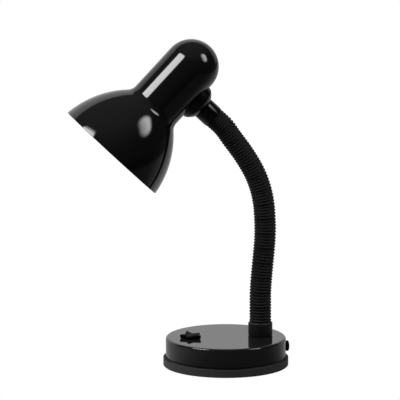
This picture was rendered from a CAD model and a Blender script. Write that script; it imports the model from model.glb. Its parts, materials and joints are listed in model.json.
"""Desk lamp with a bell shade, a ribbed flexible neck and a round weighted base: its looks.

Every new piece is a surface worked out on a grid of two parameters, apart from the pan, whose
points come from its CAD node. Sizes are in millimetres in the dataclass fields and become metres in
the meshes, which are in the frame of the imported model.
"""

import json
import logging
import math
from dataclasses import dataclass, field
from enum import Enum
from typing import Any, Sequence

import bmesh
import bpy
import numpy as np
from mathutils import Matrix, Quaternion, Vector


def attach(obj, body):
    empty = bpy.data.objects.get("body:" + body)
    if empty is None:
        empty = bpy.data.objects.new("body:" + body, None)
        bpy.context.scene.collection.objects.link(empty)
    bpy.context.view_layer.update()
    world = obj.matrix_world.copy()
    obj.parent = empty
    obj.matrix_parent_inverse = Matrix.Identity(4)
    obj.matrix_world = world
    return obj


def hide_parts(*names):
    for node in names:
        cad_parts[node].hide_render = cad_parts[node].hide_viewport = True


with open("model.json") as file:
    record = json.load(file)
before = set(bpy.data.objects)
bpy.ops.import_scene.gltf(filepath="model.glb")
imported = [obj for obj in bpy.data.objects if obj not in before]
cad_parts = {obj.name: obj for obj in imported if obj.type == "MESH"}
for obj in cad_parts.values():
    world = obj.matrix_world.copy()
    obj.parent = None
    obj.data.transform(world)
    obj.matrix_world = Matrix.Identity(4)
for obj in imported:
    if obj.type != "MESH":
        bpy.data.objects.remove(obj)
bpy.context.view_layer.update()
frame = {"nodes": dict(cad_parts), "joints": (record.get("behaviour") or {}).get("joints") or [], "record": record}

MM = 0.001
DOUBLE = 1e-7
WHITE = (1.0, 1.0, 1.0, 1.0)
X_AXIS, Y_AXIS, Z_AXIS = np.eye(3)
log = logging.getLogger("desk_lamp")


# Shader maths

class Value:
    """One socket's output, or a plain number, with Python's operators."""

    def __init__(self, graph: "Graph", socket: Any) -> None:
        """Keep the graph and the socket.

        Args:
            graph: the graph that the socket belongs to.
            socket: an output socket.
        """
        self.graph = graph
        self.socket = socket

    def _math(self, operation: str, *values: Any) -> "Value":
        """Add one Math node for an operation on values."""
        return self.graph.node("ShaderNodeMath", {"operation": operation}, *values)

    def __add__(self, other: Any) -> "Value":
        """Sum."""
        return self._math("ADD", self, other)

    def __radd__(self, other: Any) -> "Value":
        """Sum with a number on the left."""
        return self._math("ADD", other, self)

    def __sub__(self, other: Any) -> "Value":
        """Difference."""
        return self._math("SUBTRACT", self, other)

    def __rsub__(self, other: Any) -> "Value":
        """Difference with a number on the left."""
        return self._math("SUBTRACT", other, self)

    def __mul__(self, other: Any) -> "Value":
        """Product."""
        return self._math("MULTIPLY", self, other)

    def __rmul__(self, other: Any) -> "Value":
        """Product with a number on the left."""
        return self._math("MULTIPLY", other, self)

    def __truediv__(self, other: Any) -> "Value":
        """Quotient."""
        return self._math("DIVIDE", self, other)

    def over(self, edge: float, soft: float) -> "Value":
        """Smooth step from 0 below edge - soft to 1 above edge + soft.

        Args:
            edge: the value at the middle of the step.
            soft: half the width of the step.

        Returns:
            A value from 0 to 1.
        """
        return self.graph.node(
            "ShaderNodeMapRange", {"interpolation_type": "SMOOTHSTEP"},
            self, edge - soft, edge + soft, 0.0, 1.0)


class Graph:
    """The nodes of one material, light or world."""

    MIX_COLOUR_SOCKETS = (0, 6, 7)
    MIX_COLOUR_RESULT = 2

    def __init__(self, tree: bpy.types.NodeTree) -> None:
        """Empty the tree.

        Args:
            tree: the node tree to fill.
        """
        self.tree = tree
        tree.nodes.clear()

    def node(self, kind: str, settings: dict[str, Any] | None = None, *values: Any,
             out: int | str = 0, **named: Any) -> Value:
        """Add one node.

        Args:
            kind: the node's type.
            settings: properties that are set before the sockets.
            values: numbers, colours or Values for the first sockets, None to skip one.
            out: which output the result stands for.
            named: values for sockets by name, with _ for a space.

        Returns:
            The chosen output as a Value.
        """
        made = self.tree.nodes.new(kind)
        for key, value in (settings or {}).items():
            setattr(made, key, value)
        pairs = [(made.inputs[i], v) for i, v in enumerate(values) if v is not None]
        pairs += [(made.inputs[name.replace("_", " ")], v) for name, v in named.items()]
        for socket, value in pairs:
            if isinstance(value, Value):
                self.tree.links.new(value.socket, socket)
            else:
                socket.default_value = value
        return Value(self, made.outputs[out] if len(made.outputs) else None)

    def vector(self, operation: str, *values: Any, out: int | str = 0) -> Value:
        """Add one Vector Math node for an operation on values."""
        return self.node("ShaderNodeVectorMath", {"operation": operation}, *values, out=out)

    def white_to_the_eye(self, level: Value) -> Value:
        """1 for a ray from the eye, and the level for every other ray."""
        seen = self.node("ShaderNodeLightPath", out="Is Camera Ray")
        return level * (1 - seen) + seen

    def place(self) -> Value:
        """The point on the piece, in metres, from its own Object coordinates."""
        return self.node("ShaderNodeTexCoord", out="Object")

    def noise(self, size_mm: float, detail: float = 2.0, rough: float = 0.5,
              stretch: tuple[float, float, float] = (1.0, 1.0, 1.0)) -> Value:
        """Noise from 0 to 1 with features of one size.

        Args:
            size_mm: the size of a feature.
            detail: how many finer layers are added.
            rough: how strong the finer layers are.
            stretch: how many times finer it is along X, Y and Z.

        Returns:
            The noise's factor.
        """
        spread = self.vector("MULTIPLY", self.place(), stretch)
        return self.node("ShaderNodeTexNoise", None, Vector=spread, Scale=1.0 / (size_mm * MM),
                         Detail=detail, Roughness=rough)

    def blend(self, factor: Value, low: Sequence[float], high: Sequence[float]) -> Value:
        """Colour between two colours.

        Args:
            factor: 0 for low, 1 for high.
            low: first colour.
            high: second colour.

        Returns:
            The mixed colour.
        """
        mixed = self.tree.nodes.new("ShaderNodeMix")
        mixed.data_type = "RGBA"
        share, first, second = (mixed.inputs[k] for k in self.MIX_COLOUR_SOCKETS)
        self.tree.links.new(factor.socket, share)
        first.default_value = (*low, 1.0)
        second.default_value = (*high, 1.0)
        return Value(self, mixed.outputs[self.MIX_COLOUR_RESULT])

    def bump(self, height: Value, depth_mm: float) -> Value:
        """Normal of a relief.

        Args:
            height: from 0 to 1.
            depth_mm: the relief's depth.

        Returns:
            The bent normal.
        """
        return self.node("ShaderNodeBump", None, Strength=1.0, Distance=depth_mm * MM, Height=height)


# Finishes

@dataclass(frozen=True)
class Finish:
    """A surface finish: a principled shader whose colour, roughness and relief vary a little."""

    name: str
    colour: tuple[float, float, float]
    roughness: float

    def dress(self, graph: Graph) -> dict[str, Any]:
        """Socket values beside the plain colour and roughness.

        Args:
            graph: the material's graph.

        Returns:
            Values by socket name.
        """
        return {}

    def material(self) -> bpy.types.Material:
        """Make the material.

        Returns:
            The new material.
        """
        made = bpy.data.materials.new(self.name)
        made.use_nodes = True
        made.diffuse_color = (*self.colour, 1.0)
        graph = Graph(made.node_tree)
        sockets = {"Base_Color": (*self.colour, 1.0), "Roughness": self.roughness}
        sockets.update(self.dress(graph))
        shader = graph.node("ShaderNodeBsdfPrincipled", None, **sockets)
        graph.node("ShaderNodeOutputMaterial", None, shader)
        return made

    def shaded(self, graph: Graph, size_mm: float, spread: float) -> Value:
        """The colour with soft lighter and darker clouds.

        Args:
            graph: the material's graph.
            size_mm: the size of a cloud.
            spread: how far the clouds go, as a share of the colour.

        Returns:
            The varied colour.
        """
        low = [c * (1 - spread) for c in self.colour]
        high = [min(1.0, c * (1 + spread)) for c in self.colour]
        return graph.blend(graph.noise(size_mm, 3.0), low, high)


@dataclass(frozen=True)
class StovePaint(Finish):
    """Gloss stove enamel on sheet steel: a faint orange-peel ripple and fine dust in the gloss."""

    ripple_mm: float = 0.0025

    def dress(self, graph: Graph) -> dict[str, Any]:
        """Ripple, dust and slow clouds in the gloss.

        Args:
            graph: the material's graph.

        Returns:
            Values by socket name.
        """
        dust = graph.noise(0.9, 2.0, 0.7).over(0.68, 0.05)
        clouds = graph.noise(38.0, 2.0)
        return {
            "Base_Color": self.shaded(graph, 14.0, 0.12),
            "Roughness": clouds * 0.03 + dust * 0.05 + (self.roughness - 0.015),
            "Normal": graph.bump(graph.noise(2.6, 1.0), self.ripple_mm),
        }


@dataclass(frozen=True)
class MouldedPlastic(Finish):
    """Injection-moulded plastic with a fine spark-eroded grain."""

    grain_mm: float = 0.02
    grain_size_mm: float = 0.5
    specular: float = 0.5

    def dress(self, graph: Graph) -> dict[str, Any]:
        """Grain in the relief and in the roughness.

        Args:
            graph: the material's graph.

        Returns:
            Values by socket name.
        """
        grain = graph.noise(self.grain_size_mm, 3.0, 0.6)
        return {
            "Specular_IOR_Level": self.specular,
            "Base_Color": self.shaded(graph, 9.0, 0.08),
            "Roughness": grain * 0.12 + (self.roughness - 0.06),
            "Normal": graph.bump(grain, self.grain_mm),
        }


@dataclass(frozen=True)
class PlatedMetal(Finish):
    """Metal with fine turning or rolling marks and slow clouds in the plating."""

    marks: tuple[float, float, float] = (1.0, 1.0, 8.0)

    def dress(self, graph: Graph) -> dict[str, Any]:
        """Marks drawn out along one way, and clouds.

        Args:
            graph: the material's graph.

        Returns:
            Values by socket name.
        """
        marks = graph.noise(0.8, 3.0, 0.6, self.marks)
        return {
            "Base_Color": self.shaded(graph, 6.0, 0.1),
            "Metallic": 1.0,
            "Roughness": marks * 0.16 + (self.roughness - 0.08),
            "Normal": graph.bump(marks, 0.006),
        }


@dataclass(frozen=True)
class CastMetal(Finish):
    """Rough cast iron: a pitted skin."""

    def dress(self, graph: Graph) -> dict[str, Any]:
        """Pits and a sandy grain.

        Args:
            graph: the material's graph.

        Returns:
            Values by socket name.
        """
        sand = graph.noise(1.1, 5.0, 0.65)
        return {
            "Base_Color": self.shaded(graph, 5.0, 0.3),
            "Metallic": 0.6,
            "Roughness": sand * 0.2 + (self.roughness - 0.1),
            "Normal": graph.bump(sand, 0.12),
        }


@dataclass(frozen=True)
class OpalGlass(Finish):
    """White-coated bulb glass: milky inside, smooth outside."""

    def dress(self, graph: Graph) -> dict[str, Any]:
        """A slow cloud in the white coat under a clear surface.

        Args:
            graph: the material's graph.

        Returns:
            Values by socket name.
        """
        return {
            "Base_Color": self.shaded(graph, 11.0, 0.03),
            "Roughness": graph.noise(20.0) * 0.04 + (self.roughness - 0.02),
            "Coat_Weight": 0.6,
            "Coat_Roughness": 0.03,
        }


class Paint(Enum):
    """Every finish on the lamp."""

    SHADE_BLACK = StovePaint("gloss_black_enamel", (0.0055, 0.0055, 0.006), 0.055)
    SHADE_WHITE = StovePaint("white_enamel_inside", (0.72, 0.72, 0.70), 0.3, 0.004)
    COVER_BLACK = StovePaint("base_black_enamel", (0.013, 0.013, 0.0135), 0.055)
    CUFF_BLACK = MouldedPlastic("satin_black_moulding", (0.0115, 0.0115, 0.012), 0.5, 0.004, 0.4, 0.3)
    GLOSS_CUFF = MouldedPlastic("polished_black_moulding", (0.004, 0.004, 0.0045), 0.17, 0.003,
                                0.4, 0.25)
    PAN = MouldedPlastic("dark_grey_moulding", (0.062, 0.062, 0.0635), 0.6, 0.012, 0.5, 0.3)
    KNOB = MouldedPlastic("dull_black_moulding", (0.0025, 0.0025, 0.003), 0.5, 0.006, 0.4, 0.06)
    VINYL = MouldedPlastic("ribbed_black_vinyl", (0.013, 0.013, 0.0135), 0.7, 0.008, 0.35, 0.28)
    RUBBER = MouldedPlastic("foot_rubber", (0.012, 0.012, 0.012), 0.75, 0.04, 0.8)
    SHEATH = MouldedPlastic("black_lead_sheath", (0.012, 0.012, 0.012), 0.5)
    BROWN_SHEATH = MouldedPlastic("brown_lead_sheath", (0.09, 0.035, 0.015), 0.5)
    TERMINAL = MouldedPlastic("pale_terminal_moulding", (0.62, 0.61, 0.56), 0.5)
    SWITCH = MouldedPlastic("switch_moulding", (0.02, 0.02, 0.02), 0.5)
    HOLDER = MouldedPlastic("holder_moulding", (0.008, 0.008, 0.0085), 0.28, 0.006)
    STEEL = PlatedMetal("zinc_plated_steel", (0.56, 0.57, 0.58), 0.32)
    BRASS = PlatedMetal("contact_brass", (0.69, 0.5, 0.2), 0.3)
    IRON = CastMetal("ballast_iron", (0.06, 0.058, 0.055), 0.7)
    OPAL = OpalGlass("opal_glass", (0.86, 0.86, 0.83), 0.12)

    @property
    def material(self) -> bpy.types.Material:
        """The finish's one material, made at its first use."""
        return bpy.data.materials.get(self.value.name) or self.value.material()


# Surfaces

def full_turn(steps: int) -> np.ndarray:
    """Angles of a full turn in even steps, from 0."""
    return 2 * np.pi * np.arange(steps) / steps


def ring(radius: np.ndarray, turn: np.ndarray, height: np.ndarray) -> np.ndarray:
    """Points (radius cos turn, radius sin turn, height), in millimetres."""
    return np.stack([radius * np.cos(turn), radius * np.sin(turn), height + 0 * turn], axis=-1)


def turned(profile: Sequence[Sequence[float]], steps: int = 160) -> np.ndarray:
    """Profile turned about Z: point (i, j) is (r_i cos t_j, r_i sin t_j, z_i), t_j = 2 pi j / steps.

    Args:
        profile: radius and height of each point, in millimetres.
        steps: points round the axis.

    Returns:
        Grid of points (rows, steps, 3) in millimetres.
    """
    outline = np.asarray(profile, float)
    return ring(outline[:, 0, None], full_turn(steps), outline[:, 1, None])


def arc(centre: Sequence[float], radius: float, start: float, end: float, steps: int) -> np.ndarray:
    """Points on an arc: centre + radius (cos a, sin a), a in even steps from start to end.

    Args:
        centre: the arc's centre.
        radius: its radius.
        start: first angle in degrees.
        end: last angle in degrees.
        steps: number of steps.

    Returns:
        Points (steps + 1, 2).
    """
    angle = np.radians(np.linspace(start, end, steps + 1))
    return np.asarray(centre) + radius * np.stack([np.cos(angle), np.sin(angle)], axis=-1)


def signed_volume(points: np.ndarray, quads: np.ndarray) -> float:
    """Volume inside quads: the sum over both triangles of each of a . (b x c) / 6.

    Args:
        points: vertices (n, 3).
        quads: faces (m, 4).

    Returns:
        The volume, above 0 if the faces point outwards.
    """
    a, b, c, d = (points[quads[:, k]] for k in range(4))
    return float((a * (np.cross(b, c) + np.cross(c, d))).sum() / 6)


def surface(name: str, grid: np.ndarray, loop: bool = True, crease: float = 50.0) -> bpy.types.Object:
    """Mesh of a grid of points whose columns close on themselves.

    Quads join point (i, j) to (i + 1, j), (i + 1, j + 1) and (i, j + 1). Rows of no width
    become one point.

    Args:
        name: the piece's name.
        grid: points (rows, columns, 3) in metres.
        loop: whether the last row joins the first.
        crease: angle in degrees above which an edge is drawn sharp.

    Returns:
        The new object, with its place in its mesh.
    """
    rows, columns = grid.shape[:2]
    points = grid.reshape(-1, 3)
    bands = rows if loop else rows - 1
    i, j = np.meshgrid(np.arange(bands), np.arange(columns), indexing="ij")
    below, after = (i + 1) % rows, (j + 1) % columns
    quads = np.stack([i * columns + j, below * columns + j, below * columns + after,
                      i * columns + after], axis=-1).reshape(-1, 4)
    if signed_volume(points, quads) < 0:
        quads = quads[:, ::-1]
    return made_of(name, points, quads, crease)


def made_of(name: str, points: np.ndarray, faces: np.ndarray, crease: float) -> bpy.types.Object:
    """Object with a mesh of points and faces, its doubles merged.

    Args:
        name: the piece's name.
        points: vertices (n, 3) in metres.
        faces: corners of each face (m, 3) or (m, 4).
        crease: angle in degrees above which an edge is drawn sharp.

    Returns:
        The new object.
    """
    mesh = bpy.data.meshes.new(name)
    mesh.from_pydata(points.tolist(), [], faces.tolist())
    work = bmesh.new()
    work.from_mesh(mesh)
    bmesh.ops.remove_doubles(work, verts=work.verts, dist=DOUBLE)
    work.to_mesh(mesh)
    work.free()
    mesh.shade_smooth()
    mesh.set_sharp_from_angle(angle=math.radians(crease))
    return in_scene(name, mesh)


def in_scene(name: str, data: bpy.types.ID) -> bpy.types.Object:
    """New object with a mesh, light or camera, linked to the scene."""
    made = bpy.data.objects.new(name, data)
    bpy.context.scene.collection.objects.link(made)
    return made


def gathered(rows: Any, name: str, width: int = 1, kind: type = float) -> np.ndarray:
    """One property of all vertices, corners or faces of a mesh.

    Args:
        rows: the mesh's vertices, corners or faces.
        name: the property.
        width: how many numbers it has.
        kind: the type of a number.

    Returns:
        Array (len(rows), width).
    """
    found = np.empty(width * len(rows), kind)
    rows.foreach_get(name, found)
    return found.reshape(-1, width)


@dataclass(frozen=True)
class Seat:
    """Place of a sub-assembly: an origin in metres and three axes."""

    origin: np.ndarray
    x: np.ndarray
    y: np.ndarray
    z: np.ndarray

    def put(self, grid: np.ndarray) -> np.ndarray:
        """Carry points in millimetres to the row frame: origin + x X + y Y + z Z.

        Args:
            grid: points in the seat's axes.

        Returns:
            Points in metres.
        """
        return self.origin + MM * (grid @ np.stack([self.x, self.y, self.z]))

    def moved(self, x: float = 0.0, y: float = 0.0, z: float = 0.0) -> "Seat":
        """The same axes from another origin, in millimetres along the axes."""
        return Seat(self.origin + MM * (x * self.x + y * self.y + z * self.z), self.x, self.y, self.z)


UPRIGHT = Seat(np.zeros(3), X_AXIS, Y_AXIS, Z_AXIS)


def settle(piece: bpy.types.Object, paints: Sequence[Paint], node: str, body: str) -> None:
    """Dress a piece and put it on its body.

    Args:
        piece: the new piece.
        paints: its finishes, the outer one first.
        node: the CAD node that it stands for.
        body: the body it rides on.
    """
    for paint in paints:
        piece.data.materials.append(paint.material)
    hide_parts(node)
    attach(piece, body)
    log.info("%s: %d faces on %s", piece.name, len(piece.data.polygons), body)


# Sub-assemblies

@dataclass
class Base:
    """Round weighted base: cover, pan, lower cuff and cord gland."""

    cover_r: float = 63.0
    cover_top: float = 30.5
    cover_wall: float = 1.2
    cover_edge: float = 2.3
    cover_foot: float = 10.6
    cover_rings: tuple[float, ...] = (0.0, 20.0, 40.0, 55.0)
    cover_inner_rings: tuple[float, ...] = (40.0, 0.0)
    cover_waist_z: float = 20.0
    pan_r: float = 65.6
    pan_top: float = 9.0
    pan_bevel: float = 0.7
    pan_rim: float = 0.2
    ledge_fall: float = 2.0
    spigot_r: float = 61.5
    neck_x: float = 36.9
    cuff_r: float = 12.7
    cuff_h: float = 15.0
    cuff_chamfer: float = 1.5
    cuff_chamfer_shift: tuple[float, float] = (0.15, 0.1)
    cuff_bore_r: float = 8.3
    cuff_mouth: float = 0.3
    cuff_hole_r: float = 5.1
    cuff_floor_t: float = 3.0
    cuff_step: float = 0.8
    cuff_ease: float = 0.25
    cuff_top_ease: float = 0.35
    gland_z: float = 18.0
    gland_stem_r: float = 3.6
    gland_bore_r: float = 2.6
    gland_gaps: tuple[float, float] = (0.3, 0.2)
    gland_barb: float = 1.0
    gland_tail: float = 3.0
    gland_flange: float = 1.4
    gland_flange_t: float = 0.8
    gland_ease: float = 0.2
    gland_neck_l: float = 1.5
    gland_cap_r: float = 5.6
    gland_cap_l: float = 2.7
    gland_cap_ease: float = 0.3
    gland_cap_round: float = 1.4
    gland_mouth: float = 0.5

    def cover(self) -> None:
        """Pressed cover: a flat top, a rolled edge, a straight side and the same inside."""
        top, edge, wall, waist = self.cover_top, self.cover_edge, self.cover_wall, self.cover_waist_z
        centre = (self.cover_r - edge, top - edge)
        rim = (self.cover_r - wall / 2, self.cover_foot + wall / 2)
        profile = np.concatenate([
            [(r, top) for r in self.cover_rings],
            arc(centre, edge, 90, 0, 14),
            [(self.cover_r, waist), (self.cover_r, rim[1])],
            arc(rim, wall / 2, 0, -180, 6),
            [(self.cover_r - wall, waist)],
            arc(centre, edge - wall, 0, 90, 6),
            [(r, top - wall) for r in self.cover_inner_rings]])
        piece = surface("cover_shell", UPRIGHT.put(turned(profile, 224)), loop=False)
        settle(piece, [Paint.COVER_BLACK], "base_cover", "base")

    def pan(self) -> None:
        """The pan from the CAD, with a crisp rim and a ledge that falls inwards from it.

        A point of the bevel moves out to the edge that the bevel cut, short of it by the new bevel,
        and a point of the ledge's inner corner moves down.
        """
        solid = frame["nodes"]["bottom_pan"].data
        x, y, z = gathered(solid.vertices, "co", 3).T / MM
        radius = np.hypot(x, y)
        near = 0.05
        corner = (radius > self.spigot_r - near) & (z > self.pan_top - self.pan_bevel - near)
        inner = corner & (radius < self.spigot_r + near)
        upper = corner & (radius > self.spigot_r + near) & (z > self.pan_top - near)
        lower = corner & (radius > self.pan_r - near) & (z < self.pan_top - near)
        grow = np.where(upper, (self.pan_r - self.pan_rim) / np.maximum(radius, near), 1)
        z = np.where(inner & (z < self.pan_top + near), self.pan_top - self.ledge_fall, z)
        z = np.where(lower, self.pan_top - self.pan_rim, z)
        moved = np.stack([x * grow, y * grow, z], axis=-1) * MM
        triangles = gathered(solid.loops, "vertex_index", kind=int).reshape(-1, 3)
        piece = made_of("pan_moulding", moved, triangles, crease=30)
        settle(piece, [Paint.PAN], "bottom_pan", "base")

    def cuff(self) -> None:
        """Turned cuff at the foot of the neck: a chamfered top, eased edges and a step at its foot."""
        r, h, floor, step = self.cuff_r, self.cuff_h, self.cuff_floor_t, self.cuff_step
        bore, hole, mouth = self.cuff_bore_r, self.cuff_hole_r, self.cuff_mouth
        ease, top_ease = self.cuff_ease, self.cuff_top_ease
        chamfer_foot = h - self.cuff_chamfer - self.cuff_chamfer_shift[0]
        chamfer_top = r - self.cuff_chamfer - self.cuff_chamfer_shift[1]
        profile = np.concatenate([
            [(bore, floor), (hole, floor), (hole, 0), (r - step, 0), (r - step, step), (r - ease, step)],
            arc((r - ease, step + ease), ease, -90, 0, 3),
            arc((r - top_ease, chamfer_foot), top_ease, 0, 45, 4),
            arc((chamfer_top, h - top_ease), top_ease, 45, 90, 4),
            [(bore + mouth, h), (bore, h - mouth)]])
        seat = UPRIGHT.moved(x=self.neck_x, z=self.cover_top)
        piece = surface("foot_cuff", seat.put(turned(profile, 96)), crease=40)
        settle(piece, [Paint.CUFF_BLACK], "lower_cuff", "base")

    def gland(self) -> None:
        """Turned cord gland: barb, thin flange, neck and mushroom cap with a rounded mouth."""
        stem, bore, cap_r, barb = self.gland_stem_r, self.gland_bore_r, self.gland_cap_r, self.gland_barb
        ease, cap_ease = self.gland_ease, self.gland_cap_ease
        cap_round, mouth = self.gland_cap_round, self.gland_mouth
        inner = self.cover_r - self.cover_wall - self.gland_gaps[0]
        tail, low = inner - self.gland_tail, self.cover_r + self.gland_gaps[1]
        high, cap_x = low + self.gland_flange_t, self.cover_r + self.gland_neck_l
        end, lip = cap_x + self.gland_cap_l, stem + self.gland_flange
        profile = np.concatenate([
            [(bore, tail), (stem, tail), (stem + barb, inner - barb), (stem + barb, inner), (stem, inner),
             (stem, low), (lip - ease, low), (lip, low + ease), (lip, high - ease), (lip - ease, high),
             (stem, high), (stem, cap_x), (cap_r - cap_ease, cap_x)],
            arc((cap_r - cap_ease, cap_x + cap_ease), cap_ease, -90, 0, 3),
            arc((cap_r - cap_round, end - cap_round), cap_round, 0, 90, 8),
            arc((bore + mouth, end - mouth), mouth, 90, 180, 5)])
        seat = Seat(MM * self.gland_z * Z_AXIS, Y_AXIS, Z_AXIS, X_AXIS)
        piece = surface("gland", seat.put(turned(profile, 72)), crease=35)
        settle(piece, [Paint.KNOB], "cord_gland", "base")

    def build(self) -> None:
        """Make every new piece of the base."""
        self.cover()
        self.pan()
        self.cuff()
        self.gland()


@dataclass
class StarKnob:
    """Low star knob of the rotary switch."""

    centre_x: float = -37.0
    seat_z: float = 30.8
    height: float = 4.3
    tips: int = 5
    tip_r: float = 11.8
    turn: float = 102.0
    point_rise: float = 1.0
    valley_r: float = 7.6
    blunt: float = 0.6
    sharpness: float = 4.0
    tip_drop: float = 0.6
    slope: float = 0.2
    edge: float = 0.4
    draft: float = 0.97
    foot_ease: float = 0.3
    waist: float = 0.55
    crown: tuple[float, ...] = (0.92, 0.82, 0.7, 0.55, 0.35, 0.0)

    def outline(self, turn: np.ndarray) -> np.ndarray:
        """Radius round the knob: straight edges from tip to valley, and a circle that blunts the tips.

        An edge through a tip at distance t and a valley at distance v, half a sector s away, lies at
        t v sin s / (t sin u + v sin(s - u)), u from the tip. The two are softly joined.

        Args:
            turn: angles round the knob's axis.

        Returns:
            Radii.
        """
        half = np.pi / self.tips
        u = np.abs(self.off_arm(turn, self.tips))
        point, valley = self.tip_r + self.blunt, self.valley_r
        edge = point * valley * math.sin(half) / (point * np.sin(u) + valley * np.sin(half - u))
        soft = self.sharpness
        return -np.log(np.exp(-soft * edge) + np.exp(-soft * self.tip_r)) / soft

    def off_arm(self, turn: np.ndarray, arms: int) -> np.ndarray:
        """Angles from the nearest of some arms in even steps, the knob's first arm among them."""
        half = np.pi / arms
        return (turn - math.radians(self.turn) + half) % (2 * half) - half

    def top(self, radius: np.ndarray, turn: np.ndarray) -> np.ndarray:
        """Height of the gabled top: it falls off beside each arm, and the first arm climbs to a point.

        With o = radius / tip radius and f from 1 on the first arm to 0 a sector away, it is
        height + rise f o - drop (1 - f) o^2 - slope radius |sin(angle from the nearest arm)|.

        Args:
            radius: distance from the knob's axis.
            turn: angle round it.

        Returns:
            Heights.
        """
        first = np.clip(1 - np.abs(self.off_arm(turn, 1)) * self.tips / np.pi, 0, 1)
        out = radius / self.tip_r
        return (self.height + self.point_rise * first * out - self.tip_drop * (1 - first) * out ** 2
                - self.slope * radius * np.abs(np.sin(self.off_arm(turn, self.tips))))

    def build(self) -> None:
        """Loft the outline from the underside over a rounded edge to the crown."""
        turn = full_turn(320)
        radius = self.outline(turn)
        rim = self.top(radius, turn)
        foot, inner = radius * self.draft, radius - self.edge
        ease = np.radians(np.linspace(0, 90, 7))[:, None]
        rows = [(0 * radius, 0 * radius), (foot - self.foot_ease, 0 * radius),
                (foot, 0 * radius + self.foot_ease), (radius, self.waist * (rim - self.edge))]
        rows += zip(radius - self.edge * (1 - np.cos(ease)), rim - self.edge * (1 - np.sin(ease)))
        rows += [(inner * share, self.top(inner * share, turn)) for share in self.crown]
        grid = np.stack([ring(r, turn, z) for r, z in rows])
        seat = UPRIGHT.moved(x=self.centre_x, z=self.seat_z)
        piece = surface("star_knob", seat.put(grid), loop=False, crease=60)
        settle(piece, [Paint.KNOB], "switch_knob", "knob")


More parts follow.
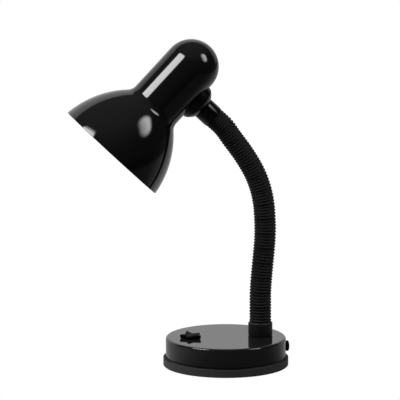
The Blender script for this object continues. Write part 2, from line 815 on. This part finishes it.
@dataclass
class Neck:
    """Flexible neck: a ribbed sleeve over a conduit with a lead, split at its hinges into links.

    A link of the sleeve ends in a tongue, which stands in the socket of the next link, so no
    slit opens when the neck bends.
    """

    foot: tuple[float, float] = (36.9, 45.5)
    rib_r: float = 11.5
    root_r: float = 10.6
    bore_r: float = 8.5
    rib_pitch: float = 3.16
    ribs_per_section: int = 5
    conduit_r: float = 8.0
    conduit_bore_r: float = 5.6
    lead_r: float = 2.3
    lead_start_x: float = 11.3
    lead_z: float = 15.6
    lead_bend_r: float = 7.0
    points_per_rib: int = 12
    link_points: int = 13
    sleeve_ends: tuple[float, float] = (-2.0, 2.0)
    conduit_ends: tuple[float, float] = (-10.7, 11.7)
    lead_ends: tuple[float, float] = (-16.0, 31.7)
    hinge_gap: float = 0.82
    tongue_r: float = 10.15
    tongue_reach: float = 2.2
    socket_r: float = 10.42
    socket_reach: float = 3.7
    conduit_gap: float = 0.62
    lead_gap: float = 0.15
    hinges: list[np.ndarray] = field(default_factory=list)

    def route(self, head_axis: np.ndarray) -> None:
        """Collect the neck's corners: its foot, every neck hinge and its end at the cuff.

        Args:
            head_axis: unit vector of the swivel's axis, towards the head.
        """
        found = [np.array(j["pos_m"]) for j in frame["joints"]
                 if j["name"].startswith(("neck_bend", "neck_side"))]
        found.sort(key=lambda p: p[2])
        start = MM * (self.foot[0] * X_AXIS + self.foot[1] * Z_AXIS)
        end = found[-1] + MM * self.section_l * head_axis
        self.hinges = [start, *found, end]
        self.head_axis = head_axis

    @property
    def section_l(self) -> float:
        """Length of one section of the sleeve."""
        return self.rib_pitch * self.ribs_per_section

    def line(self, s: np.ndarray) -> tuple[np.ndarray, np.ndarray]:
        """Centre line and its tangent at lengths s along the neck.

        Between two corners p and q with tangents m and n the line is the cubic
        (2t^3-3t^2+1) p + (t^3-2t^2+t) m + (-2t^3+3t^2) q + (t^3-t^2) n, and it runs straight
        past both ends.

        Args:
            s: lengths from the foot, in millimetres.

        Returns:
            Points in metres and unit tangents, each (len(s), 3).
        """
        corners = np.array(self.hinges)
        legs = np.diff(corners, axis=0)
        legs /= np.linalg.norm(legs, axis=1, keepdims=True)
        tangents = np.vstack([Z_AXIS, legs[:-1] + legs[1:], self.head_axis])
        tangents /= np.linalg.norm(tangents, axis=1, keepdims=True)
        span = self.section_l
        k = np.clip((s // span).astype(int), 0, len(corners) - 2)
        t = (s / span - k)[:, None]
        inside = np.clip(t, 0, 1)
        p, q = corners[k], corners[k + 1]
        m, n = tangents[k] * span * MM, tangents[k + 1] * span * MM
        x = inside
        point = ((2 * x**3 - 3 * x**2 + 1) * p + (x**3 - 2 * x**2 + x) * m
                 + (-2 * x**3 + 3 * x**2) * q + (x**3 - x**2) * n)
        slope = ((6 * x**2 - 6 * x) * p + (3 * x**2 - 4 * x + 1) * m
                 + (-6 * x**2 + 6 * x) * q + (3 * x**2 - 2 * x) * n)
        slope /= np.linalg.norm(slope, axis=1, keepdims=True)
        return point + (t - inside) * span * MM * slope, slope

    def tail(self) -> tuple[np.ndarray, np.ndarray]:
        """The lead's route in the base: from the terminal block to the right, then up under the neck.

        Returns:
            Points in metres and unit tangents.
        """
        bend = np.radians(np.linspace(-90, 0, 7))
        middle = np.array([self.foot[0] - self.lead_bend_r, self.lead_z + self.lead_bend_r])
        flat = np.array([(self.lead_start_x, self.lead_z)])
        round_part = middle + self.lead_bend_r * np.stack([np.cos(bend), np.sin(bend)], axis=-1)
        route = np.concatenate([flat, round_part])
        ways = np.concatenate([[(1.0, 0.0)], np.stack([-np.sin(bend), np.cos(bend)], axis=-1)])
        flat_to_space = np.stack([X_AXIS, Z_AXIS])
        return MM * route @ flat_to_space, ways @ flat_to_space

    @staticmethod
    def tube(centre: np.ndarray, tangent: np.ndarray, radii: np.ndarray, steps: int) -> np.ndarray:
        """Tube along a line in the neck's plane: point (i, j) = c_i + r_i (cos t_j N_i + sin t_j Y).

        N is the tangent turned a right angle in that plane.

        Args:
            centre: points of the line in metres.
            tangent: its unit tangents.
            radii: radius of each row, in millimetres.
            steps: points round the tube.

        Returns:
            Grid of points in metres.
        """
        side = np.stack([tangent[:, 2], 0 * radii, -tangent[:, 0]], axis=-1)
        turn = full_turn(steps)[:, None]
        around = np.cos(turn) * side[:, None, :] + np.sin(turn) * Y_AXIS
        return centre[:, None, :] + MM * radii[:, None, None] * around

    def ribbed(self, s: np.ndarray) -> np.ndarray:
        """Outer radius at lengths s: the wave w = 0.5 - 0.5 cos(2 pi s / pitch), as w^2 (3 - 2 w)."""
        wave = 0.5 - 0.5 * np.cos(2 * np.pi * s / self.rib_pitch)
        return self.root_r + (self.rib_r - self.root_r) * wave * wave * (3 - 2 * wave)

    def sleeve(self, low: float, high: float, socket: bool, tongue: bool) -> np.ndarray:
        """Closed tube for one link of the sleeve: a profile of (length, radius) round the line.

        The profile runs up the ribs, over the tongue, down the bore and out through the socket.

        Args:
            low: where it starts along the neck, in millimetres.
            high: where it ends.
            socket: whether a hinge is at its start.
            tongue: whether a hinge is at its end.

        Returns:
            Grid of points in metres.
        """
        start, stop = low + self.hinge_gap * socket, high - self.hinge_gap * tongue
        rows = int(round((stop - start) / self.rib_pitch * self.points_per_rib))
        s = np.linspace(start, stop, rows + 1)
        tip = high + self.tongue_reach if tongue else stop
        floor = low + self.socket_reach if socket else start
        lip = [(stop, self.tongue_r), (tip, self.tongue_r)] if tongue else []
        mouth = [(floor, self.socket_r), (start, self.socket_r)] if socket else []
        bore = [(at, self.bore_r) for at in np.linspace(tip, floor, rows // 4)]
        along, radius = np.array([*zip(s, self.ribbed(s)), *lip, *bore, *mouth]).T
        return self.tube(*self.line(along), radius, steps=72)

    def conduit(self, low: float, high: float) -> np.ndarray:
        """Closed tube for one link of the conduit, outer rows first.

        Args:
            low: where it starts along the neck, in millimetres.
            high: where it ends.

        Returns:
            Grid of points in metres.
        """
        s = np.linspace(low, high, self.link_points)
        radius = np.concatenate([0 * s + self.conduit_r, 0 * s + self.conduit_bore_r])
        return self.tube(*self.line(np.concatenate([s, s[::-1]])), radius, steps=32)

    def lead(self, low: float, high: float, first: bool) -> np.ndarray:
        """Rod for one link of the lead, with its ends drawn in to a point.

        Args:
            low: where it starts along the neck, in millimetres.
            high: where it ends.
            first: whether the tail in the base belongs to it.

        Returns:
            Grid of points in metres.
        """
        line = self.line(np.linspace(low, high, self.link_points))
        if first:
            line = tuple(np.concatenate(parts) for parts in zip(self.tail(), line))
        grid = self.tube(*line, np.full(len(line[0]), self.lead_r), steps=20)
        return np.concatenate([0 * grid[:1] + grid[0].mean(axis=0), grid,
                               0 * grid[:1] + grid[-1].mean(axis=0)])

    def build(self, head_axis: np.ndarray) -> None:
        """Make the links of the sleeve, the conduit and the lead.

        Args:
            head_axis: unit vector of the swivel's axis, towards the head.
        """
        self.route(head_axis)
        sections = len(self.hinges) - 1
        bodies = ["base"] + [f"neck_{k:02d}" for k in range(2, sections + 1)]
        strands = {
            "sleeve": ("sleeve_plastic", Paint.VINYL, self.sleeve_ends, 0.0),
            "conduit": ("plated_steel", Paint.STEEL, self.conduit_ends, self.conduit_gap),
            "lead": ("lead_sheath", Paint.SHEATH, self.lead_ends, self.lead_gap),
        }
        for kind, (slot, paint, ends, gap) in strands.items():
            for k in range(sections):
                first, last = k == 0, k == sections - 1
                low = k * self.section_l + (ends[0] if first else gap)
                high = (k + 1) * self.section_l + (ends[1] if last else -gap)
                if kind == "sleeve":
                    grid, node = self.sleeve(low, high, not first, not last), f"sleeve_{k + 1:02d}"
                elif kind == "conduit":
                    grid, node = self.conduit(low, high), "neck_conduit"
                else:
                    grid, node = self.lead(low, high, first), "neck_lead"
                piece = surface(f"{kind}_link_{k + 1:02d}", grid, loop=kind != "lead", crease=55)
                settle(piece, [paint], node, bodies[k])


@dataclass
class Head:
    """Shade with its swivel disc, upper cuff and bulb."""

    swivel_z: float = 98.8
    mouth_r: float = 62.0
    shade_r: float = 28.75
    shade_l: float = 122.0
    bell_arc_r: float = 102.8
    bell_lean: float = 7.4
    bell_fillet: float = 12.0
    wall: float = 0.8
    disc_r: float = 20.3
    disc_rim_h: float = 1.85
    disc_dome_r: float = 23.7
    disc_skirt: float = 5.5
    disc_round: float = 3.0
    disc_draft: float = 7.0
    tube_r: float = 5.05
    cuff_r: float = 11.95
    cuff_l: float = 14.8
    cuff_bore_r: float = 8.3
    cuff_gap: float = 0.3
    cuff_ease: float = 0.35
    cuff_floor_t: float = 3.0
    saddle_gap: float = 0.1
    saddle_rings: tuple[float, ...] = (17.0, 13.0, 9.0)
    lip_h: float = 0.3
    bulb_r: float = 22.5
    bulb_z: float = 45.9
    bulb_throat: float = 42.0
    bulb_seat_z: float = 75.0
    bulb_skirt_r: float = 8.6
    glass_t: float = 0.8

    def __post_init__(self) -> None:
        """Take the swivel's place from the frame."""
        joint = next(j for j in frame["joints"] if j["name"] == "head_swivel")
        axis = np.array(joint["axis"], float)
        axis /= np.linalg.norm(axis)
        self.head_axis = axis
        cap = np.cross(Y_AXIS, axis)
        pivot = np.array(joint["pos_m"], float)
        self.mouth = Seat(pivot - MM * self.swivel_z * cap, -axis, Y_AXIS, cap)
        self.swivel = Seat(pivot, -cap, Y_AXIS, -axis)

    @property
    def dome_centre(self) -> float:
        """Distance of the dome's centre from the shade's axis."""
        return self.shade_r + self.disc_rim_h - math.sqrt(self.disc_dome_r**2 - self.disc_r**2)

    @property
    def disc_flat_r(self) -> float:
        """Radius of the flat on the disc, under the cuff."""
        return self.cuff_r + self.cuff_gap

    @property
    def disc_top(self) -> float:
        """Distance of that flat from the shade's axis."""
        return self.dome_centre + math.sqrt(self.disc_dome_r**2 - self.disc_flat_r**2)

    def shade_side(self, depth: float) -> np.ndarray:
        """Half outline of the shade at a depth inside its outer face: bell arc, fillet, round cap.

        Args:
            depth: distance inside the outer face.

        Returns:
            Radius and distance from the mouth of each point, from the mouth to the cap.
        """
        lean = math.radians(self.bell_lean)
        bell_x, bell_z = self.mouth_r - self.bell_arc_r * math.cos(lean), -self.bell_arc_r * math.sin(lean)
        fillet_x = self.shade_r + self.bell_fillet
        reach = self.bell_arc_r + self.bell_fillet
        fillet_z = bell_z + math.sqrt(reach**2 - (fillet_x - bell_x) ** 2)
        join = math.degrees(math.atan2(fillet_z - bell_z, fillet_x - bell_x))
        along = np.linspace(fillet_z, self.shade_l, 10)[1:-1]
        tube = np.stack([0 * along + self.shade_r - depth, along], axis=-1)
        return np.concatenate([
            arc((bell_x, bell_z), self.bell_arc_r - depth, self.bell_lean, join, 44),
            arc((fillet_x, fillet_z), self.bell_fillet + depth, join + 180, 180, 16)[1:],
            tube,
            arc((0, self.shade_l), self.shade_r - depth, 0, 90, 36)])

    def shade(self) -> None:
        """Spun shell: black outside, white inside, with a rounded lip at the mouth."""
        outer = self.shade_side(0.0)
        inner = self.shade_side(self.wall)
        lip_centre = (outer[0] + inner[0]) / 2
        lip = arc(lip_centre, self.wall / 2, self.bell_lean - 180, self.bell_lean, 8)[1:-1]
        profile = np.concatenate([inner[::-1], lip, outer])
        piece = surface("bell_shade", self.mouth.put(turned(profile, 256)), loop=False)
        self.whiten_inside(piece)
        settle(piece, [Paint.SHADE_BLACK, Paint.SHADE_WHITE], "shade", "head")

    def whiten_inside(self, piece: bpy.types.Object) -> None:
        """Give the shade's inner faces its second finish.

        An inner face is one whose normal points to the shade's axis, or to the centre of its
        round cap.

        Args:
            piece: the shade.
        """
        faces = piece.data.polygons
        normals, centres = gathered(faces, "normal", 3), gathered(faces, "center", 3)
        height = (centres - self.mouth.origin) @ self.mouth.z
        axis_point = self.mouth.origin + np.clip(height, None, MM * self.shade_l)[:, None] * self.mouth.z
        inward = ((normals * (centres - axis_point)).sum(axis=1) < 0) & (height > MM * self.lip_h)
        faces.foreach_set("material_index", inward.astype(np.int32))

    def disc(self) -> None:
        """Domed disc: a flat under the cuff, a dome, a rounded and drafted rim, and a fitted underside.

        The dome of radius D and the round of radius q touch where both have the same slope, so
        the round's centre lies D - q from the dome's. The underside's height at radius r and
        angle t is the larger of the skirt's level and sqrt(R^2 - (r sin t)^2), R being the
        shade's radius.
        """
        steps = 144
        turn = full_turn(steps)
        start = math.degrees(math.acos(self.disc_flat_r / self.disc_dome_r))
        round_r, draft = self.disc_round, math.radians(self.disc_draft)
        inset = self.disc_r - self.disc_skirt * math.tan(draft) - round_r * math.cos(draft)
        meet = math.acos(inset / (self.disc_dome_r - round_r))
        middle = (inset, self.dome_centre + (self.disc_dome_r - round_r) * math.sin(meet))
        top = np.concatenate([
            [(self.tube_r, self.disc_top)],
            arc((0, self.dome_centre), self.disc_dome_r, start, math.degrees(meet), 22),
            arc(middle, round_r, math.degrees(meet), self.disc_draft, 10)[1:]])
        above = turned(top, steps)
        crisp = self.disc_r - 0.01
        radii = np.array([self.disc_r, crisp, *self.saddle_rings, self.tube_r])[:, None]
        level = np.sqrt(np.maximum((self.shade_r + self.saddle_gap) ** 2 - (radii * np.sin(turn)) ** 2, 0))
        below = ring(radii, turn, np.maximum(level, self.shade_r - self.disc_skirt))
        piece = surface("domed_disc", self.swivel.put(np.concatenate([above, below])), crease=45)
        settle(piece, [Paint.GLOSS_CUFF], "swivel_disc", "head")

    def cuff(self) -> None:
        """Plain cuff between the neck and the disc, with eased edges."""
        r, end, bore, ease, gap = self.cuff_r, self.cuff_l, self.cuff_bore_r, self.cuff_ease, self.cuff_gap
        floor = end - self.cuff_floor_t
        profile = np.concatenate([
            [(bore, gap), (bore + gap, 0)],
            arc((r - ease, ease), ease, -90, 0, 5),
            arc((r - ease, end - ease), ease, 0, 90, 5),
            [(self.tube_r, end), (self.tube_r, floor), (bore, floor)]])
        foot = self.mouth.moved(x=self.disc_top + gap + end, z=self.swivel_z).origin
        seat = Seat(foot, np.cross(Y_AXIS, self.head_axis), Y_AXIS, self.head_axis)
        piece = surface("head_cuff", seat.put(turned(profile, 96)), crease=40)
        settle(piece, [Paint.GLOSS_CUFF], "upper_cuff", "neck_15")

    def bulb(self) -> None:
        """Blown globe with a short waist down to its cap, its radius eased by u^2 (3 - 2 u)."""
        centre, seam, t = (0, self.bulb_z), self.bulb_skirt_r, self.glass_t
        throat = math.radians(self.bulb_throat)
        waist_r = self.bulb_r * math.cos(throat)
        waist_z = self.bulb_z + self.bulb_r * math.sin(throat)
        share = np.linspace(0, 1, 9)[1:]
        waist = np.stack([waist_r + (seam - waist_r) * share * share * (3 - 2 * share),
                          waist_z + (self.bulb_seat_z - waist_z) * share], axis=-1)
        outer = [arc(centre, self.bulb_r, -90, self.bulb_throat, 40), waist]
        inner = [waist[::-1] - (t, 0), arc(centre, self.bulb_r - t, self.bulb_throat, -90, 30)]
        globe = turned(np.concatenate(outer + inner), 128)
        piece = surface("globe", self.mouth.put(globe), loop=False)
        settle(piece, [Paint.OPAL], "bulb_glass", "head")

    def build(self) -> None:
        """Make every new piece of the head."""
        self.shade()
        self.disc()
        self.cuff()
        self.bulb()


# Pieces that keep their CAD shape

SLOT_PAINT = {
    "gloss_black_paint": Paint.SHADE_BLACK,
    "cuff_plastic": Paint.CUFF_BLACK,
    "pan_plastic": Paint.PAN,
    "ballast_iron": Paint.IRON,
    "foot_rubber": Paint.RUBBER,
    "sleeve_plastic": Paint.VINYL,
    "knob_plastic": Paint.KNOB,
    "plated_steel": Paint.STEEL,
    "contact_brass": Paint.BRASS,
    "terminal_plastic": Paint.TERMINAL,
    "switch_plastic": Paint.SWITCH,
    "lead_sheath": Paint.SHEATH,
    "switch_lead_sheath": Paint.BROWN_SHEATH,
    "holder_plastic": Paint.HOLDER,
    "bulb_opal": Paint.OPAL,
}


def dress_nodes() -> None:
    """Give every CAD node the finish of its slot."""
    slots = {part["node"]: part["material_slot"] for part in frame["record"]["subparts"]}
    for name, node in frame["nodes"].items():
        paint = SLOT_PAINT[slots[name]]
        node.data.materials.clear()
        node.data.materials.append(paint.material)
        log.info("%s: %s", name, paint.value.name)


# Studio

@dataclass(frozen=True)
class Softbox:
    """A light that faces the lamp: a rounded window whose cloth darkens to its edge.

    Bearing runs from +Y towards +X and rise from the horizon upwards, in degrees. Size, corner
    radius, fade (half the width of the soft edge) and distance are in metres. Slant is how much
    brighter one side is than the other, across and upwards, and roll turns the window in degrees.
    """

    name: str
    bearing: float
    rise: float
    size: tuple[float, float]
    brightness: float
    corner: float
    fade: float
    slant: tuple[float, float] = (0.0, 0.0)
    roll: float = 0.0
    distance: float = 1.8
    aim: tuple[float, float, float] = (-0.04, 0.0, 0.2)

    def cloth(self, graph: Graph) -> None:
        """Window's glow: it falls from 1 to 0 past the corner's radius from an inset rectangle.

        Args:
            graph: the light's graph.
        """
        middle = (0.5, 0.5, 0.0)
        place = graph.node("ShaderNodeNewGeometry", out="Parametric")
        spot = graph.vector("SUBTRACT", place, middle)
        side = graph.vector("MULTIPLY", graph.vector("ABSOLUTE", spot), (*self.size, 0.0))
        inset = [length / 2 - self.corner - self.fade for length in self.size]
        past = graph.vector("MAXIMUM", graph.vector("SUBTRACT", side, (*inset, 0.0)), (0.0, 0.0, 0.0))
        distance = graph.vector("LENGTH", past, out="Value")
        slope = graph.vector("DOT_PRODUCT", spot, (*self.slant, 0.0), out="Value")
        glow = graph.node("ShaderNodeEmission", None, WHITE,
                          (1 - distance.over(self.corner, self.fade)) * (slope + 1))
        graph.node("ShaderNodeOutputLight", None, glow)

    def build(self) -> None:
        """Hang the light in its direction from the lamp, facing it."""
        width, height = self.size
        data = bpy.data.lights.new(self.name, "AREA")
        data.shape = "RECTANGLE"
        data.size, data.size_y = width, height
        data.energy = self.brightness * math.pi * width * height
        data.use_nodes = True
        self.cloth(Graph(data.node_tree))
        bearing, rise = math.radians(self.bearing), math.radians(self.rise)
        away = self.distance * Vector((math.sin(bearing) * math.cos(rise),
                                       math.cos(bearing) * math.cos(rise), math.sin(rise)))
        made = in_scene(self.name, data)
        made.location = Vector(self.aim) + away
        facing = (-away).to_track_quat("-Z", "Y") @ Quaternion(Z_AXIS, math.radians(self.roll))
        made.rotation_euler = facing.to_euler()


@dataclass
class Studio:
    """White backdrop behind the lamp, a dark room in front, two softboxes, a floor and the camera.

    A soft edge of the backdrop, ceiling or floor is its place and half its width.
    """

    azimuth: float = -11.0
    elevation: float = 11.533
    distance: float = 8327.7
    mm_per_px: float = 1.04539
    shift_right: float = -27.068
    shift_up: float = 16.293
    look_at_z: float = 160.0
    frame_px: int = 400
    sensor: float = 36.0
    far_end: float = 100.0
    backdrop_light: float = 0.68
    backdrop_fall: float = 0.28
    backdrop_top: tuple[float, float] = (1.0, 0.12)
    backdrop_left: tuple[float, float] = (-1.3, 0.4)
    backdrop_right: tuple[float, float] = (2.2, 0.5)
    backdrop_front: tuple[float, float] = (0.05, 0.05)
    backdrop_shade: tuple[float, float] = (0.6, 0.35)
    room_light: float = 0.03
    ceiling_light: float = 0.12
    ceiling_edge: tuple[float, float] = (0.7, 0.3)
    floor_half: float = 30.0
    floor_dark: float = 0.075
    floor_pale: float = 0.4
    floor_behind: tuple[float, float, float] = (-0.17, 0.98, 0.0)
    floor_rise: tuple[float, float] = (-0.1, 0.75)
    floor_aside: tuple[float, float, float] = (0.8, -0.6, 0.0)
    floor_end: tuple[float, float] = (0.75, 0.2)
    floor_end_shade: float = 0.8

    def camera(self) -> None:
        """Long lens at the photograph's angle."""
        a, e = math.radians(self.azimuth), math.radians(self.elevation)
        back = np.array([math.sin(a) * math.cos(e), -math.cos(a) * math.cos(e), math.sin(e)])
        right = np.array([math.cos(a), math.sin(a), 0.0])
        up = np.cross(back, right)
        data = bpy.data.cameras.new("photo_camera")
        data.sensor_width = self.sensor
        data.lens = self.distance / self.mm_per_px / self.frame_px * self.sensor
        data.clip_end = self.far_end
        spot = MM * (self.look_at_z * Z_AXIS + self.shift_right * right + self.shift_up * up
                     + self.distance * back)
        made = in_scene("photo_camera", data)
        axes = Matrix(np.stack([right, up, back], axis=1).tolist()).to_4x4()
        made.matrix_world = Matrix.Translation(Vector(spot)) @ axes
        bpy.context.scene.camera = made

    def world(self) -> None:
        """Sky: white to the eye, and to the lamp a white sheet behind it in a dark room.

        The sheet stands across +Y, so a direction meets it at (x / y, z / y): it shines up to its
        top edge, between its two sides, and less to the right.
        """
        made = bpy.data.worlds.new("studio")
        made.use_nodes = True
        graph = Graph(made.node_tree)
        way = graph.node("ShaderNodeTexCoord", out="Generated")
        x, y, z = (graph.node("ShaderNodeSeparateXYZ", None, way, out=axis) for axis in "XYZ")
        room = z.over(*self.ceiling_edge) * self.ceiling_light + self.room_light
        ahead = graph.node("ShaderNodeMath", {"operation": "MAXIMUM"}, y, 0.001)
        across, up = x / ahead, z / ahead
        behind = (1 - up.over(*self.backdrop_top)) * across.over(*self.backdrop_left)
        behind = behind * (1 - across.over(*self.backdrop_right)) * y.over(*self.backdrop_front)
        sheet = self.backdrop_light - across.over(*self.backdrop_shade) * self.backdrop_fall
        strength = graph.white_to_the_eye(behind * sheet + room)
        graph.node("ShaderNodeOutputWorld", None, graph.node("ShaderNodeBackground", None, WHITE, strength))
        bpy.context.scene.world = made

    def floor(self) -> None:
        """Pale floor that reads white to the eye, and in the lamp's gloss is lit from behind.

        What the gloss sees rises with the cosine of the bearing, from dark in front to pale behind,
        and falls off to the right.
        """
        half = self.floor_half
        mesh = bpy.data.meshes.new("floor")
        mesh.from_pydata([(-half, -half, 0), (half, -half, 0), (half, half, 0), (-half, half, 0)], [],
                         [(0, 1, 2, 3)])
        paper = bpy.data.materials.new("floor_paper")
        paper.use_nodes = True
        graph = Graph(paper.node_tree)
        way = graph.vector("NORMALIZE", graph.place())
        behind = graph.vector("DOT_PRODUCT", way, self.floor_behind, out="Value")
        aside = graph.vector("DOT_PRODUCT", graph.place(), self.floor_aside, out="Value")
        near = 1 - aside.over(*self.floor_end) * self.floor_end_shade
        level = (behind.over(*self.floor_rise) * self.floor_pale + self.floor_dark) * near
        glow = graph.node("ShaderNodeEmission", None, WHITE, graph.white_to_the_eye(level))
        graph.node("ShaderNodeOutputMaterial", None, glow)
        mesh.materials.append(paper)
        made = in_scene("floor", mesh)

    def build(self) -> None:
        """Set up the camera, the backdrop, the lights and the floor."""
        self.camera()
        self.world()
        Softbox("softbox_left", bearing=-106.0, rise=46.0, size=(1.1, 0.76), brightness=14.0,
                corner=0.16, fade=0.09).build()
        Softbox("umbrella_right", bearing=121.0, rise=38.5, size=(0.9, 1.14), brightness=6.6,
                corner=0.3, fade=0.14, slant=(1.4, 0.4), roll=-16.0).build()
        self.floor()
        scene = bpy.context.scene
        scene.view_settings.view_transform = "Standard"
        scene.view_settings.look = "None"


def main() -> None:
    """Build the camera and studio, then every sub-assembly."""
    logging.basicConfig(level=logging.INFO, format="%(name)s: %(message)s")
    Studio().build()
    dress_nodes()
    Base().build()
    StarKnob().build()
    head = Head()
    Neck().build(head.head_axis)
    head.build()


if __name__ == "__main__":
    main()
